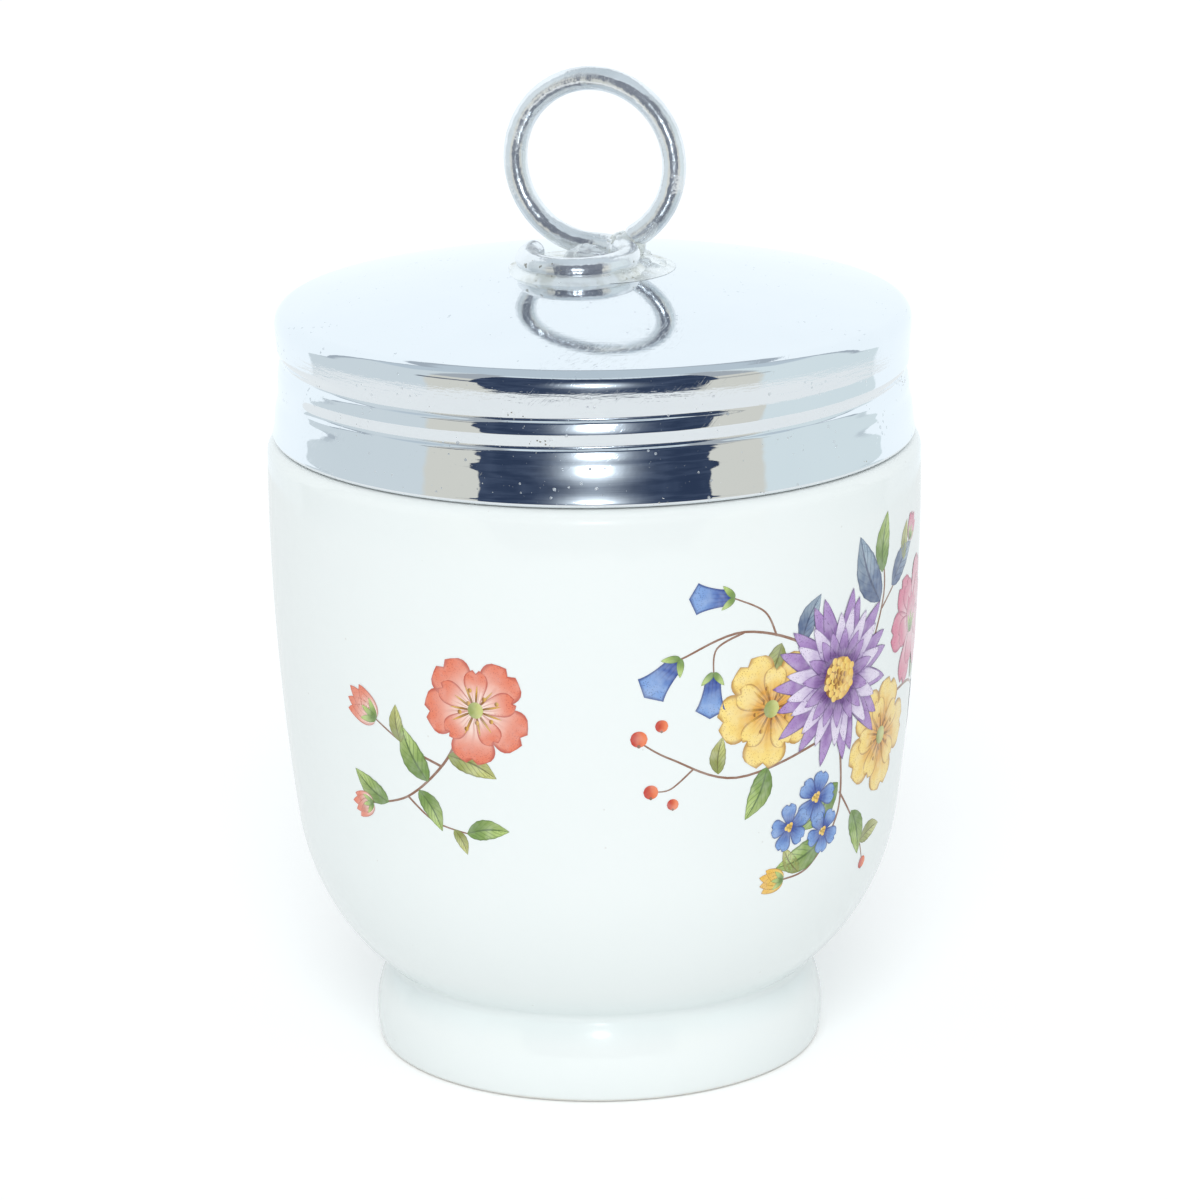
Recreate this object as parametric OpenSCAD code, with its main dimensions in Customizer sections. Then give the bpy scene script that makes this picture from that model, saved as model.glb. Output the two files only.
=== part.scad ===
// Porcelain egg coddler: a footed pot with a screw neck, closed by a pressed metal screw cap
// that carries a bent wire ring. An egg is cooked in the pot, standing in hot water.
// Millimetres, +Z up. The origin is on the table, on the axis of the pot.
// The thread is right-handed: the cap lifts as it turns anticlockwise, seen from above.

/* [Pot] */
// Widest diameter of the pot, just under the cap
pot_w = 64.2; // [60:0.2:78]
// Height of the rim above the table
pot_h = 74.8; // [62:0.2:92]
// How far the side draws in from the widest height down to the start of the bowl's curve
side_taper = 2.25; // [1.5:0.05:3]
// Height at which the side turns into the curve of the bowl
bowl_top = 24; // [22:0.5:28]
// Radius of the curve between the side and the foot
bowl_r = 23.5; // [22:0.5:26]
// Thickness of the wall
wall_t = 2.9; // [2.4:0.1:3.5]
// Thickness of the floor under the egg
floor_t = 4; // [3:0.1:4.8]
// Radius of the corner between floor and wall, inside
floor_corner_r = 10; // [7:0.5:11]

/* [Foot] */
// Widest diameter of the foot ring
foot_w = 44.8; // [42:0.2:46]
// Height at which the foot ring is widest
foot_belly = 3; // [2.2:0.1:3.6]
// Radius of the foot ring's rounded face
foot_face_r = 10; // [8:0.5:14]
// Thickness of the foot ring at the table
foot_t = 2.8; // [2.4:0.1:3.6]
// Depth of the hollow under the pot
foot_hollow = 5.2; // [4.4:0.1:5.6]

/* [Neck] */
// How far the neck stands in from the widest diameter
neck_step = 2.8; // [2.4:0.1:3.6]
// Height of the neck above its ledge
neck_h = 12.6; // [11.6:0.1:14]
// Thickness of the neck
neck_t = 2.6; // [2.2:0.1:3]

/* [Thread] */
// Rise in one turn
pitch = 2.7; // [2.4:0.1:3.2]
// Height of the thread that is moulded on the neck
thread_h = 0.9; // [0.8:0.05:1.1]
// Width of the moulded thread at its root
thread_w = 1.8; // [1.5:0.05:1.9]
// Length of the moulded thread, in degrees
thread_sweep = 390; // [300:10:420]
// Depth of the thread that is rolled into the cap
roll_depth = 0.6; // [0.45:0.05:0.7]
// Width of the tool that rolls it
roll_w = 1.9; // [1.6:0.05:2]
// Length of the rolled thread, in degrees
roll_sweep = 457; // [420:1:480]
// Height of the rolled thread's lower end above the ledge
roll_start = 5; // [4.4:0.1:5.6]

/* [Cap] */
// Thickness of the sheet
sheet_t = 0.45; // [0.35:0.05:0.55]
// Radius of the domed top
dome_r = 125; // [90:5:180]
// Radius of the edge between dome and skirt
edge_r = 1.6; // [1.2:0.1:2]
// How far the skirt swells between the rolled thread and that edge
swell = 0.2; // [0.1:0.05:0.3]
// Height of the swelling
swell_h = 3.2; // [2.6:0.1:3.4]
// How far the skirt flares at its lower edge
flare = 0.6; // [0.3:0.05:0.7]
// Height of the flare above the lower edge
flare_h = 4; // [3.2:0.1:4.4]
// Thickness of the curled lower edge
curl_t = 0.8; // [0.7:0.05:0.9]

/* [Ring] */
// Thickness of the wire
wire_d = 2.2; // [1.8:0.1:2.5]
// Diameter of the upright loop, along the middle of the wire
loop_d = 16.6; // [15:0.2:22]
// Diameter of the flat coil, along the middle of the wire
coil_d = 9.8; // [9.4:0.1:11]
// Length of the flat coil, in degrees
coil_sweep = 290; // [270:5:295]
// Length of the upright loop, in degrees
loop_sweep = 325; // [318:1:326]
// Angle by which the loop is turned from the front
loop_turn = 20; // [0:1:30]
// How far right of the cap's axis the foot of the loop stands
loop_foot_x = 0.3; // [-1:0.1:1]
// How far behind the cap's axis the foot of the loop stands
loop_foot_y = 2.6; // [2:0.1:3]
// Radius of the pad of solder under the coil
pad_r = 8.2; // [7.6:0.1:9]
// Height of the pad above the top of the dome
pad_rise = 0.2; // [0.15:0.05:0.3]

/* [Fits] */
// Gap between the cap's lower edge and the ledge of the pot
edge_gap = 0.2; // [0.15:0.05:0.3]
// Gap between the rim of the pot and the inside of the dome
rim_gap = 0.3; // [0.2:0.05:0.4]
// Radial gap between the moulded thread and the inside of the cap
thread_gap = 0.25; // [0.2:0.05:0.35]
// Gap between the dome and the pad of solder, and between the pad and the coil
seat_gap = 0.05; // [0.03:0.01:0.08]

/* [Hidden] */

// Roundings that nothing else is tied to
foot_edge_r = 0.7;
foot_fillet_r = 0.9;
foot_draft = 1.6;
hollow_corner_r = 1.2;
shoulder_r = 1.5;
ledge_fillet_r = 0.5;
throat_h = 8;

// Heights and radii that follow from the sizes above
pot_r = pot_w / 2;
ledge_z = pot_h - neck_h;
neck_r = pot_r - neck_step;
neck_in_r = neck_r - neck_t;
widest_z = ledge_z - 4.2;
floor_z = foot_hollow + floor_t;
wire_r = wire_d / 2;

// The side is one long arc, upright at the widest height, and the bowl's arc starts tangent to it
side_h = widest_z - bowl_top;
side_r = (side_h * side_h + side_taper * side_taper) / (2 * side_taper);
side_c = [pot_r - side_r, widest_z];
side_lean = asin(side_h / side_r);
bowl_c = side_c + (side_r - bowl_r) * [cos(side_lean), -sin(side_lean)];

// The foot ring's face bulges about this centre
foot_c = [foot_w / 2 - foot_face_r, foot_belly];

// The cap is sized from the neck: thread, running gap and sheet
skirt_r = neck_r + thread_h + thread_gap + sheet_t;
cap_z = ledge_z + edge_gap;
rim_mid_r = neck_r - neck_t / 2;
dome_c = [0, pot_h + rim_gap - sqrt(pow(dome_r - sheet_t, 2) - rim_mid_r * rim_mid_r)];
dome_top = dome_c.y + dome_r;
// The edge is an arc tangent to the dome on its inside and upright at the skirt's widest height
edge_x = skirt_r + swell - edge_r;
edge_c = [edge_x, dome_c.y + sqrt(pow(dome_r - edge_r, 2) - edge_x * edge_x)];

// The dome runs level from here in, a spot less than two millimetres across
flat_from = 89.6;

// The rolled thread's lower end lies left of the front, where the photographed one fades out
roll_from = -156;
roll_z = ledge_z + roll_start;
// The moulded thread stands half a pitch above the rolled one
thread_from = -120;
thread_z = roll_z + pitch / 2 + pitch * (thread_from - roll_from) / 360;
// Degrees from one step of a thread to the next, and the length over which it fades at each end
step_a = 6;
fade_a = 24;
// How far below its base's surface a faded end lies, as a share of the base's depth
fade_end = 0.2;

// How far the rounding of the wire's ends stands in from its surface, and the solder in the fold stands out
end_step = 0.03;
fold_fill = 0.03;
// How far the rounding of an end is set back into the wire
end_back = 0.1;
// The coil lies on the pad
coil_z = dome_top + pad_rise + seat_gap + wire_r;
pad_edge = 1.3;

function direction(v) = let (a = atan2(v.y, v.x)) a < 0 ? a + 360 : a;
function arc(c, r, a, b, n) = [for (i = [0:n]) c + r * [cos(a + (b - a) * i / n), sin(a + (b - a) * i / n)]];
// The outer one of the two points where two circles cross, the second circle above the first
function meet(c1, r1, c2, r2) =
    let (d = norm(c2 - c1), u = (c2 - c1) / d, a = (r1 * r1 - r2 * r2 + d * d) / (2 * d))
    c1 + a * u + sqrt(r1 * r1 - a * a) * [u.y, -u.x];
// Where a rounding of radius r touches a level line at z and the inside of a circle, the outer side
function corner(c, big_r, z, r) = [c.x + sqrt(pow(big_r - r, 2) - pow(z - c.y, 2)), z];
function ease(t) = t * t * (3 - 2 * t);

// Underside: the hollow, the inner face of the foot ring and the ring that rests on the table
function pot_underside() =
    let (edge = corner(foot_c, foot_face_r, foot_edge_r, foot_edge_r),
         in_r = edge.x + foot_edge_r - foot_t,
         hollow_r = in_r - foot_draft - hollow_corner_r)
    concat(
        [[0, foot_hollow]],
        arc([hollow_r, foot_hollow - hollow_corner_r], hollow_corner_r, 90, 20, 6),
        arc([in_r + foot_edge_r, foot_edge_r], foot_edge_r, 200, 270, 5),
        arc(edge, foot_edge_r, 270, 360 + atan2(edge.y - foot_c.y, edge.x - foot_c.x), 6));

// Outside, from the foot ring to the ledge
function pot_outside() =
    let (f = meet(foot_c, foot_face_r + foot_fillet_r, bowl_c, bowl_r + foot_fillet_r),
         edge = corner(foot_c, foot_face_r, foot_edge_r, foot_edge_r),
         s = corner(side_c, side_r, ledge_z - shoulder_r, shoulder_r),
         foot_low = atan2(edge.y - foot_c.y, edge.x - foot_c.x),
         foot_high = atan2(f.y - foot_c.y, f.x - foot_c.x),
         bowl_low = atan2(f.y - bowl_c.y, f.x - bowl_c.x),
         side_high = atan2(s.y - side_c.y, s.x - side_c.x))
    concat(
        arc(foot_c, foot_face_r, foot_low + 1, foot_high, 10),
        arc(f, foot_fillet_r, direction(foot_c - f) - 8, direction(bowl_c - f) + 8, 8),
        arc(bowl_c, bowl_r, bowl_low, -side_lean, 20),
        arc(side_c, side_r, -side_lean + 0.4, side_high, 16),
        arc(s, shoulder_r, side_high + 6, 90, 8));

// Neck and rim
function pot_neck() = concat(
    arc([neck_r + ledge_fillet_r, ledge_z + ledge_fillet_r], ledge_fillet_r, 270, 180, 5),
    arc([rim_mid_r, pot_h - neck_t / 2], neck_t / 2, 0, 180, 14));

// Inside: throat, wall, corner and floor
function pot_inside() =
    let (in_side_r = side_r - wall_t, in_bowl_r = bowl_r - wall_t,
         throat_low = ledge_z - throat_h,
         wall_a = asin((throat_low - side_c.y) / in_side_r),
         wall_r = side_c.x + in_side_r * cos(wall_a),
         f = corner(bowl_c, in_bowl_r, floor_z + floor_corner_r, floor_corner_r),
         corner_a = atan2(f.y - bowl_c.y, f.x - bowl_c.x))
    concat(
        [for (i = [0:8]) [neck_in_r + (wall_r - neck_in_r) * ease(i / 8), ledge_z - throat_h * i / 8]],
        arc(side_c, in_side_r, wall_a - 0.4, -side_lean, 14),
        arc(bowl_c, in_bowl_r, -side_lean - 3, corner_a, 14),
        arc(f, floor_corner_r, corner_a - 5, -90, 8),
        [[0, floor_z]]);

// One half-wave bump, h high, that stands on a base w wide lying root behind it. With h negative it points
// inwards, and its points run the other way to keep the solid right side out.
function bump(h, w, root) = let (side = sign(h)) concat(
    [[-side * root, -side * w / 2]],
    [for (i = [-2:2]) [h * pow(cos(i * 30), 2), side * i * w / 6]],
    [[-side * root, side * w / 2]]);

// A bump that runs along a right-handed helix and fades into its base at both ends
module helix(profile, r, z, from, sweep) {
    n = len(profile);
    steps = ceil(sweep / step_a);
    rings = [for (i = [0:steps])
        let (a = sweep * i / steps, fade = pow(max(0, 1 - min(a, sweep - a) / fade_a), 2), w = from + a)
        for (j = [0:n - 1])
            let (p = profile[j], base = profile[0].x, k = j > 0 && j < n - 1 ? fade : 0,
                 rho = r + (1 - k) * p.x + k * base * fade_end)
            [rho * cos(w), rho * sin(w), z + pitch * a / 360 + p.y]];
    sides = [for (i = [0:steps - 1], j = [0:n - 1])
        let (a = i * n + j, b = i * n + (j + 1) % n, c = a + n, d = b + n)
        each [[a, b, d], [a, d, c]]];
    ends = [for (j = [1:n - 2]) each [[0, j + 1, j], [steps * n, steps * n + j, steps * n + j + 1]]];
    polyhedron(rings, concat(sides, ends), convexity = 6);
}

// The pot is one fired piece: bowl, foot ring, neck and its moulded thread
module pot() {
    color("white") union() {
        rotate_extrude($fn = 144)
            polygon(concat(pot_underside(), pot_outside(), pot_neck(), pot_inside()));
        helix(bump(thread_h, thread_w, 0.5), neck_r, thread_z, thread_from, thread_sweep);
    }
}

// The cap's section line at depth t under its outer face, from the curl to the middle of the dome
function cap_line(t) =
    let (low = cap_z + curl_t / 2, mid = edge_c.y - swell_h,
         dome_low = atan2(edge_c.y - dome_c.y, edge_c.x - dome_c.x))
    concat(
        [for (i = [0:6]) [skirt_r - t + flare * pow(1 - i / 6, 1.6), low + flare_h * i / 6]],
        [for (i = [0:7]) [skirt_r - t + swell * ease(i / 8), mid + swell_h * i / 8]],
        arc(edge_c, edge_r - t, 0, dome_low, 10),
        arc(dome_c, dome_r - t, dome_low + 1, flat_from, 14),
        [[0, dome_c.y + (dome_r - t) * sin(flat_from)]]);

// The cap is one pressed sheet: domed top, skirt with the rolled thread, flared and curled lower edge
module lid_shell() {
    outer = cap_line(0);
    inner = cap_line(sheet_t);
    curl_c = [skirt_r + flare - curl_t / 2, cap_z + curl_t / 2];
    color("silver") difference() {
        union() {
            rotate_extrude($fn = 144) polygon(concat(
                arc(curl_c, curl_t / 2, 140, 350, 12), outer,
                [for (i = [len(inner) - 1:-1:0]) inner[i]]));
            helix(bump(-roll_depth, roll_w + sheet_t, sheet_t / 2), skirt_r - sheet_t, roll_z,
                  roll_from, roll_sweep);
        }
        helix(bump(-roll_depth, roll_w, 0.6), skirt_r, roll_z, roll_from, roll_sweep);
    }
}

// A round bar bent along an arc about +Z from the X axis, its far end rounded over
module bent_wire(r, sweep) {
    rotate_extrude(angle = sweep, $fn = 96) translate([r, 0]) circle(wire_r, $fn = 48);
    rotate([0, 0, sweep]) translate([r, -end_back, 0]) sphere(wire_r - end_step, $fn = 48);
}

// The ring is one bent wire: a flat coil on the cap, folded up along its tangent into an upright loop.
// Both arcs start at the fold, which a little solder fills.
module ring_handle() {
    color("silver") translate([loop_foot_x, loop_foot_y, coil_z]) rotate([0, 0, -loop_turn]) union() {
        union() {
            translate([0, -coil_d / 2, 0]) rotate([180, 0, 90]) bent_wire(coil_d / 2, coil_sweep);
            translate([end_back, 0, 0]) sphere(wire_r + fold_fill, $fn = 48);
        }
        translate([0, 0, loop_d / 2]) rotate([0, 90, 90]) bent_wire(loop_d / 2, loop_sweep);
    }
}

// The pad of solder between dome and coil, a thin round lens about the cap's axis
module solder_pad() {
    under_r = dome_r + seat_gap;
    rim_a = acos(pad_r / under_r);
    top_z = dome_top + pad_rise;
    color("gray") rotate_extrude($fn = 96) polygon(concat(
        arc(dome_c, under_r, 90, rim_a, 8),
        [for (i = [1:6]) let (a = 90 * i / 6)
            [pad_r - pad_edge * (1 - cos(a)), dome_c.y + under_r * sin(rim_a)
                + (top_z - dome_c.y - under_r * sin(rim_a)) * sin(a)]],
        [[0, top_z]]));
}

pot();
lid_shell();
ring_handle();
solder_pad();
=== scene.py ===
# %% [markdown]
# # A porcelain egg coddler
# A coddler is a small lidded pot for cooking one egg in hot water. The bowl, foot and threaded neck are one
# piece of porcelain. The lid is a pressed metal cap with its thread rolled into the skirt, and a bent wire ring
# is soldered on top. Each of these is made here as one object, in metres, at the place it has on the real thing.
# The imported CAD parts are loaded first. They give the joints and the boxes that the pieces made here are measured
# against. They give the joints and the box that everything has to stay inside.

# %% Load the CAD parts
import math

import bpy
import numpy as np
from mathutils import Matrix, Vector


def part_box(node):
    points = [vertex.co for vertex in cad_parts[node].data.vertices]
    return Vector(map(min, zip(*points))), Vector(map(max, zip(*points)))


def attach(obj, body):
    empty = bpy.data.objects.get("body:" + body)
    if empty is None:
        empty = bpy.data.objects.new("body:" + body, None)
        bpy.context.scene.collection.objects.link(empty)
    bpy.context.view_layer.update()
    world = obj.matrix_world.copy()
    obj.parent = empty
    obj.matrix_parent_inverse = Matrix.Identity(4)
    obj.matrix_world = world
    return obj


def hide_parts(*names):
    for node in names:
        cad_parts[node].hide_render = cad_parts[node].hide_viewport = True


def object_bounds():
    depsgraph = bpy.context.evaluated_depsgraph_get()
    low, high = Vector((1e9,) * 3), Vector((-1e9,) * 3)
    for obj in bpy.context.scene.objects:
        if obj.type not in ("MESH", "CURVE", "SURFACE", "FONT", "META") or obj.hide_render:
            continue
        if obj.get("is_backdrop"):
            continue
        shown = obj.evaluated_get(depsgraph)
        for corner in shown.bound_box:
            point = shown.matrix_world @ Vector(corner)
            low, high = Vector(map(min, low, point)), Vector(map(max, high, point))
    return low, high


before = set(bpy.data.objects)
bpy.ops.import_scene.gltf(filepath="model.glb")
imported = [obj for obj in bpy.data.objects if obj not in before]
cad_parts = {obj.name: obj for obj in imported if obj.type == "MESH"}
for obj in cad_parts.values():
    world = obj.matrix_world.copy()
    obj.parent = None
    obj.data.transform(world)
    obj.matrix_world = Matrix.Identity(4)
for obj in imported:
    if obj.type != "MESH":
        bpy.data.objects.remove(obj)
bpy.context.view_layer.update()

scene = bpy.context.scene
mm = 0.001

# %% [markdown]
# ## A short way to write node trees
# Geometry trees and materials are both node trees, and a node tree is a list of sums. Written out in full, every
# sum takes five lines. The two small classes below add one node for each call or each sign of a sum, plug the
# values in, and return what comes out, so that a tree reads like a formula.


# %% Node helpers
class Value:
    """What comes out of a node. It can stand in a sum, and each sign of the sum adds one more node."""

    def __init__(self, wiring, socket):
        self.wiring, self.socket = wiring, socket


def sum_with(operation, swapped=False):
    return lambda a, b: a.wiring.math(operation, *((b, a) if swapped else (a, b)))


for sign, operation in (("add", "ADD"), ("sub", "SUBTRACT"), ("mul", "MULTIPLY"), ("truediv", "DIVIDE")):
    setattr(Value, f"__{sign}__", sum_with(operation))
    setattr(Value, f"__r{sign}__", sum_with(operation, swapped=True))


class Wiring:
    """Adds nodes to a tree, one for each call."""

    def __init__(self, tree):
        self.tree = tree

    def node(self, kind, *values, out=0, named=None, **settings):
        made = self.tree.nodes.new(kind)
        for key, value in settings.items():
            setattr(made, key, value)
        for place, value in [*enumerate(values), *(named or {}).items()]:
            if isinstance(value, Value):
                self.tree.links.new(value.socket, made.inputs[place])
            elif value is not None:
                made.inputs[place].default_value = value
        return Value(self, made.outputs[out]) if len(made.outputs) else None

    def math(self, operation, *values, clamp=False):
        return self.node("ShaderNodeMath", *values, operation=operation, use_clamp=clamp)

    def most(self, *values):
        return self.math("MAXIMUM", *values)

    def least(self, *values):
        return self.math("MINIMUM", *values)

    def xyz(self, x, y, z):
        return self.node("ShaderNodeCombineXYZ", x, y, z)

    def split(self, vector):
        cut = self.node("ShaderNodeSeparateXYZ", vector).socket.node
        return [Value(self, cut.outputs[k]) for k in range(3)]

    def move(self, operation, a, b):
        return self.node("ShaderNodeVectorMath", a, b, operation=operation)

    def scale(self, vector, size):
        return self.node("ShaderNodeVectorMath", vector, named={"Scale": size}, operation="SCALE")

    def fade(self, value, low, high, first=0.0, last=1.0):
        """A smooth step from first at low to last at high. It falls as the value rises where low is above high."""
        return self.node("ShaderNodeMapRange", value, low, high, first, last, interpolation_type="SMOOTHSTEP")

    def blend(self, share, a, b):
        """Colour a where share is 0, colour b where it is 1."""
        return self.node("ShaderNodeMix", out=2, named={0: share, 6: a, 7: b}, data_type="RGBA")

    def noise(self, place, scale, detail=2.0, rough=0.5):
        return self.node("ShaderNodeTexNoise", named={"Vector": place, "Scale": scale, "Detail": detail,
                                                     "Roughness": rough})

    def cells(self, place, scale):
        return self.node("ShaderNodeTexVoronoi", named={"Vector": place, "Scale": scale})

    def attribute(self, name, out="Fac"):
        return self.node("ShaderNodeAttribute", attribute_name=name, out=out)

    def field(self, name, kind="FLOAT"):
        return self.node("GeometryNodeInputNamedAttribute", name, data_type=kind)


# %% Geometry tree helper
def labelled(values):
    """Keyword names as the labels of sockets, which hold spaces."""
    return {name.replace("_", " "): value for name, value in values.items()}


class Tree(Wiring):
    """A Geometry Nodes tree with named inputs: plain numbers, and others that are given with their kind."""

    def __init__(self, name, *numbers, **others):
        super().__init__(bpy.data.node_groups.new(name, "GeometryNodeTree"))
        face = self.tree.interface
        face.new_socket("Geometry", in_out="OUTPUT", socket_type="NodeSocketGeometry")
        kinds = {"Geometry": "Geometry", **dict.fromkeys(numbers, "Float"), **labelled(others), "Material": "Material"}
        for label, kind in kinds.items():
            face.new_socket(label, in_out="INPUT", socket_type="NodeSocket" + kind)
        self.entry = self.tree.nodes.new("NodeGroupInput")
        self.exit = self.tree.nodes.new("NodeGroupOutput")

    def __getitem__(self, label):
        return Value(self, self.entry.outputs[label])

    def keep(self, geometry, name, value, kind="FLOAT"):
        return self.node("GeometryNodeStoreNamedAttribute", geometry, None, name, value, data_type=kind)

    def finish(self, geometry, near=1e-6):
        """Closes seams and poles, and gives the surface its smooth shading and its material."""
        geometry = self.node("GeometryNodeRealizeInstances", geometry)
        if near:
            geometry = self.node("GeometryNodeMergeByDistance", geometry, None, near)
        geometry = self.node("GeometryNodeSetShadeSmooth", geometry)
        geometry = self.node("GeometryNodeSetMaterial", geometry, None, self["Material"])
        self.tree.links.new(geometry.socket, self.exit.inputs[0])


# %% Mesh and object helpers
def new_mesh(name, points, faces=()):
    mesh = bpy.data.meshes.new(name)
    mesh.from_pydata(points, [], faces)
    return mesh


def store(mesh, label, kind, values):
    """Keeps one value for each point of a mesh, for a tree or a material to read."""
    part = {"FLOAT_VECTOR": "vector", "FLOAT_COLOR": "color"}.get(kind, "value")
    mesh.attributes.new(label, kind, "POINT").data.foreach_set(part, np.ravel(values))


def put(name, data):
    thing = bpy.data.objects.new(name, data)
    scene.collection.objects.link(thing)
    return thing


def grow(name, tree, source=None, **values):
    """Runs a tree once and returns its result as an object with a plain mesh."""
    thing = put(name, source or bpy.data.meshes.new(name))
    modifier = thing.modifiers.new(tree.tree.name, "NODES")
    modifier.node_group = tree.tree
    values = labelled(values)
    for item in tree.tree.interface.items_tree:
        if item.in_out == "INPUT" and item.name in values:
            modifier[item.identifier] = values.pop(item.name)
    assert not values, values
    thing.update_tag()
    ready = bpy.context.evaluated_depsgraph_get()
    mesh = bpy.data.meshes.new_from_object(thing.evaluated_get(ready))
    thing.modifiers.clear()
    thing.data = mesh
    mesh.name = name
    count = sum(len(face.vertices) - 2 for face in mesh.polygons)
    print(f"{name}: {len(mesh.vertices)} points, {count} triangles")
    return thing


# %% [markdown]
# ## The sizes
# Every curve of the pot and the cap is an arc or a short straight line, turned about the upright axis. The same
# sizes shaped the CAD parts, so the denser surfaces made here land exactly on them. Lengths are in millimetres
# until a mesh is made.


# %% Sizes in millimetres
pot_r, pot_h, bowl_top, bowl_r = 32.1, 74.8, 24.0, 23.5
wall_t, floor_t, floor_corner_r = 2.9, 4.0, 10.0
foot_r, foot_belly, foot_face_r, foot_t, foot_hollow = 22.4, 3.0, 10.0, 2.8, 5.2
neck_h, neck_t = 12.6, 2.6
pitch, sheet_t, dome_r, edge_r = 2.7, 0.45, 125.0, 1.6
swell, swell_h, flare, curl_t = 0.2, 3.2, 0.6, 0.8
wire_r, loop_r, coil_r, pad_r = 1.1, 8.3, 4.9, 8.15
foot_edge_r, foot_fillet_r, hollow_corner_r, foot_draft = 0.7, 0.9, 1.2, 1.6
shoulder_r, ledge_fillet_r, rim_r, throat_h = 1.5, 0.5, neck_t / 2, 8
side_bulge, side_top, neck_step, thread_h = 2.25, 4.2, 2.8, 0.9
thread_gap, rim_gap, ledge_gap, pad_t, joint_gap = 0.25, 0.3, 0.06, 0.2, 0.05

ledge_z = pot_h - neck_h
neck_r = pot_r - neck_step
floor_z = foot_hollow + floor_t
widest_z = ledge_z - side_top
side_h = widest_z - bowl_top
side_r = (side_h**2 + side_bulge**2) / (2 * side_bulge)
side_c = np.array([pot_r - side_r, widest_z])
side_lean = math.degrees(math.asin(side_h / side_r))
lean = math.radians(side_lean)
bowl_c = side_c + (side_r - bowl_r) * np.array([math.cos(lean), -math.sin(lean)])
foot_c = np.array([foot_r - foot_face_r, foot_belly])
skirt_r = neck_r + thread_h + thread_gap + sheet_t
cap_z = ledge_z + ledge_gap
rim_mid_r = neck_r - neck_t / 2
dome_c = np.array([0, pot_h + rim_gap - math.sqrt((dome_r - sheet_t) ** 2 - rim_mid_r**2)])
dome_top = dome_c[1] + dome_r
edge_x = skirt_r + swell - edge_r
edge_c = np.array([edge_x, dome_c[1] + math.sqrt((dome_r - edge_r) ** 2 - edge_x**2)])
coil_z = dome_top + pad_t + joint_gap + wire_r
print("ledge", ledge_z, "dome top", round(dome_top, 3), "coil", round(coil_z, 3))


# %% Section helpers
def arc(centre, radius, start, end, steps):
    a = np.radians(np.linspace(start, end, steps + 1))
    return np.c_[centre[0] + radius * np.cos(a), centre[1] + radius * np.sin(a)]


def bearing(v):
    return math.degrees(math.atan2(v[1], v[0])) % 360


def meet(c1, r1, c2, r2):
    """The outer point where two circles cross."""
    d = np.linalg.norm(c2 - c1)
    u = (c2 - c1) / d
    a = (r1 * r1 - r2 * r2 + d * d) / (2 * d)
    return c1 + a * u + math.sqrt(r1 * r1 - a * a) * np.array([u[1], -u[0]])


def corner(c, big_r, z, r):
    """Where a rounding of radius r touches a level line at z and the inside of a circle."""
    return np.array([c[0] + math.sqrt((big_r - r) ** 2 - (z - c[1]) ** 2), z])


def ease(t):
    return t * t * (3 - 2 * t)


def section(name, points, step, threaded):
    """A section line as a mesh of points. Long gaps are filled, step apart or closer."""
    points = np.array(points)
    line = [points[0]]
    for a, b in zip(points, points[1:]):
        gap = np.linalg.norm(b - a)
        if gap > 1e-4:
            parts = max(1, math.ceil(gap / step(a, b)))
            line += [a + (b - a) * k / parts for k in range(1, parts + 1)]
    line = np.array(line)
    length = np.r_[0, np.cumsum(np.linalg.norm(np.diff(line, axis=0), axis=1))]
    mesh = new_mesh(name, [(r * mm, 0, z * mm) for r, z in line])
    store(mesh, "threaded", "FLOAT", [threaded(r, z) for r, z in line])
    store(mesh, "length", "FLOAT", length * mm)
    print(name, "section has", len(line), "points")
    return bpy.data.objects.new(name, mesh), len(line)


# %% [markdown]
# ## Turning and threading
# A potter's wheel, a spinning lathe and a thread roller all follow rules, so the surface is left to a Geometry
# Nodes tree. It lays out a grid, with one row for each point of the section and one column for each step round
# the axis, and moves every grid point to its place. A thread is the same rule with one more term: a bump that
# climbs one pitch for each turn and fades out at both ends. A second, softer wave can trail below it, as it does
# where a roller has dragged the sheet down. Counting how far a point lies along the thread takes one sum for the
# first turn and one for the second. The tree is used for the pot, where the bump stands out, and for the cap,
# where it is pressed in.


# %% Tree for turned, threaded pieces
turn = Tree("Turned and threaded", "Thread start", "Thread low end", "Thread sweep", "Pitch", "Width above",
            "Width below", "Tail width", "Tail share", "Thread height", "Fade",
            Section="Object", Rows="Int", Steps_round="Int")
rows, steps = turn["Rows"], turn["Steps round"]
grid = turn.node("GeometryNodeMeshGrid", 1.0, 1.0, steps + 1, rows)
index = turn.node("GeometryNodeInputIndex")
column = turn.math("FLOOR", (index + 0.5) / rows)
row = index - column * rows
shape = turn.node("GeometryNodeObjectInfo", turn["Section"], out="Geometry")
spot = turn.node("GeometryNodeInputPosition")
place = turn.node("GeometryNodeSampleIndex", shape, spot, row, data_type="FLOAT_VECTOR")
mask = turn.node("GeometryNodeSampleIndex", shape, turn.field("threaded"), row)
along = turn.node("GeometryNodeSampleIndex", shape, turn.field("length"), row)
radius, _, height = turn.split(place)
angle = column / steps * math.tau
first = turn.node("ShaderNodeMath", angle - turn["Thread start"], math.tau, 0.0, operation="WRAP")
bumps = []
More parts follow.
